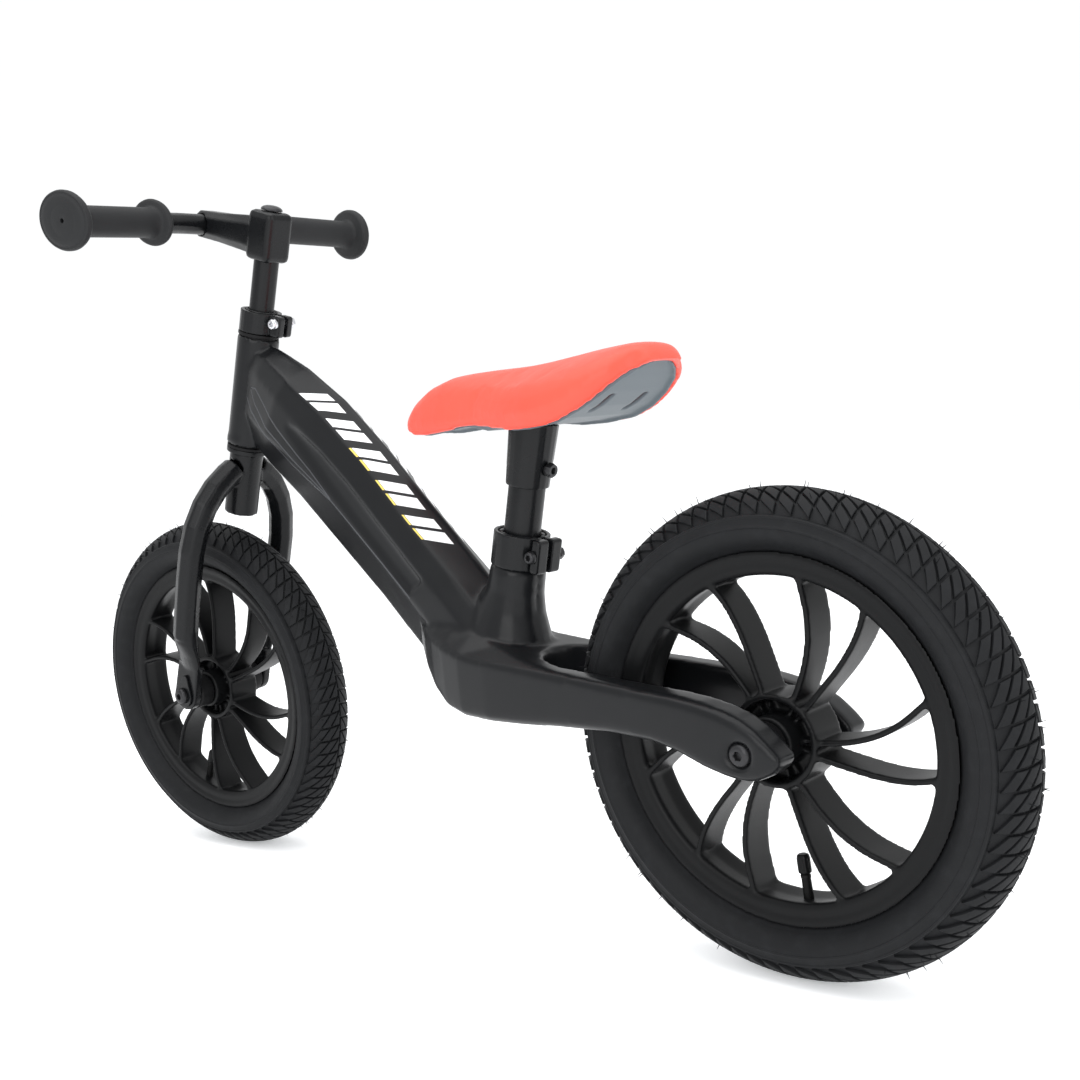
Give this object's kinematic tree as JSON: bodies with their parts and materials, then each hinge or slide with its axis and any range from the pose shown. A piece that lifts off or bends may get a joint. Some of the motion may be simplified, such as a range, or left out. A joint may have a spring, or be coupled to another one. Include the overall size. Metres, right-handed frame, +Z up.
{
  "type": "balance bike",
  "caption": "Child's balance bike: cast one-piece frame with two stays, steering fork, swept handlebar, sliding seat and moulded spoked wheels with block-tread tyres.",
  "frame": {"origin": "on the ground, at the middle of the bike's footprint box", "axes": "+X forward, from the rear wheel to the front wheel; +Y to the rider's left; +Z up"},
  "size_m": [0.8686, 0.3112, 0.5584],
  "materials": {
    "satin_black_cast": "satin black powder coat on a light-alloy casting",
    "satin_black_paint": "satin black paint on steel",
    "black_plastic": "moulded, low sheen",
    "grip_rubber": "matte",
    "tyre_rubber": "matte tread, smoother sidewall",
    "tube_rubber": "smooth",
    "zinc_steel": "zinc plated",
    "black_oxide_steel": "black oxide",
    "grey_nylon": "plain",
    "grey_pan": "fine texture",
    "coral_pad": "smooth skin of moulded foam"
  },
  "bodies": {
    "frame": {"frame": "satin_black_cast", "lower_head_bush": "grey_nylon", "upper_head_bush": "grey_nylon", "seat_clamp": "satin_black_paint", "seat_clamp_bolt": "black_oxide_steel", "seat_clamp_nut": "black_oxide_steel", "rear_axle": "zinc_steel", "rear_axle_bolt_left": "black_oxide_steel", "rear_axle_bolt_right": "black_oxide_steel", "rear_spacer_left": "black_plastic", "rear_spacer_right": "black_plastic"},
    "fork": {"fork": "satin_black_paint", "crown_ring": "satin_black_paint", "head_clamp": "satin_black_paint", "head_clamp_bolt": "zinc_steel", "head_clamp_nut": "zinc_steel", "front_axle": "zinc_steel", "front_axle_bolt_left": "black_oxide_steel", "front_axle_bolt_right": "black_oxide_steel", "front_spacer_left": "black_plastic", "front_spacer_right": "black_plastic", "front_washer_left": "satin_black_paint", "front_washer_right": "satin_black_paint"},
    "handlebar": {"stem_post": "satin_black_paint", "stem_head": "satin_black_cast", "stem_top_bolt": "black_oxide_steel", "handlebar": "satin_black_paint", "left_grip": "grip_rubber", "right_grip": "grip_rubber"},
    "seat": {"seat_post": "satin_black_paint", "saddle_bracket": "satin_black_paint", "saddle_bracket_bolt": "black_oxide_steel", "saddle_screw_left": "black_oxide_steel", "saddle_screw_right": "black_oxide_steel", "saddle_pan": "grey_pan", "saddle_pad": "coral_pad"},
    "front_wheel": {"front_wheel": "black_plastic", "front_tyre": "tyre_rubber", "front_inner_tube": "tube_rubber", "front_valve_stem": "tube_rubber", "front_valve_cap": "black_plastic", "front_bearing_left": "zinc_steel", "front_bearing_right": "zinc_steel", "front_hub_sleeve": "zinc_steel"},
    "rear_wheel": {"rear_wheel": "black_plastic", "rear_tyre": "tyre_rubber", "rear_inner_tube": "tube_rubber", "rear_valve_stem": "tube_rubber", "rear_valve_cap": "black_plastic", "rear_bearing_left": "zinc_steel", "rear_bearing_right": "zinc_steel", "rear_hub_sleeve": "zinc_steel"}
  },
  "joints": [
    {"name": "steering", "type": "hinge", "parent": "frame", "child": "fork", "pos_m": [0.28754, -0.00711, 0.1475], "axis": [-0.3584, 0, 0.9336], "range_deg": [-55.4, 44.6]},
    {"name": "handlebar_height", "type": "slide", "parent": "fork", "child": "handlebar", "axis": [-0.3584, 0, 0.9336], "range_m": [-0.035, 0.045]},
    {"name": "seat_height", "type": "slide", "parent": "frame", "child": "seat", "axis": [-0.2605, 0, 0.9655], "range_m": [-0.025, 0.045]},
    {"name": "front_wheel_spin", "type": "hinge", "parent": "fork", "child": "front_wheel", "pos_m": [0.28754, -0.00711, 0.1475], "axis": [-0.0879, 0.9956, -0.0337], "continuous": true},
    {"name": "rear_wheel_spin", "type": "hinge", "parent": "frame", "child": "rear_wheel", "pos_m": [-0.28676, -0.00711, 0.1475], "axis": [0, 1, 0], "continuous": true}
  ]
}
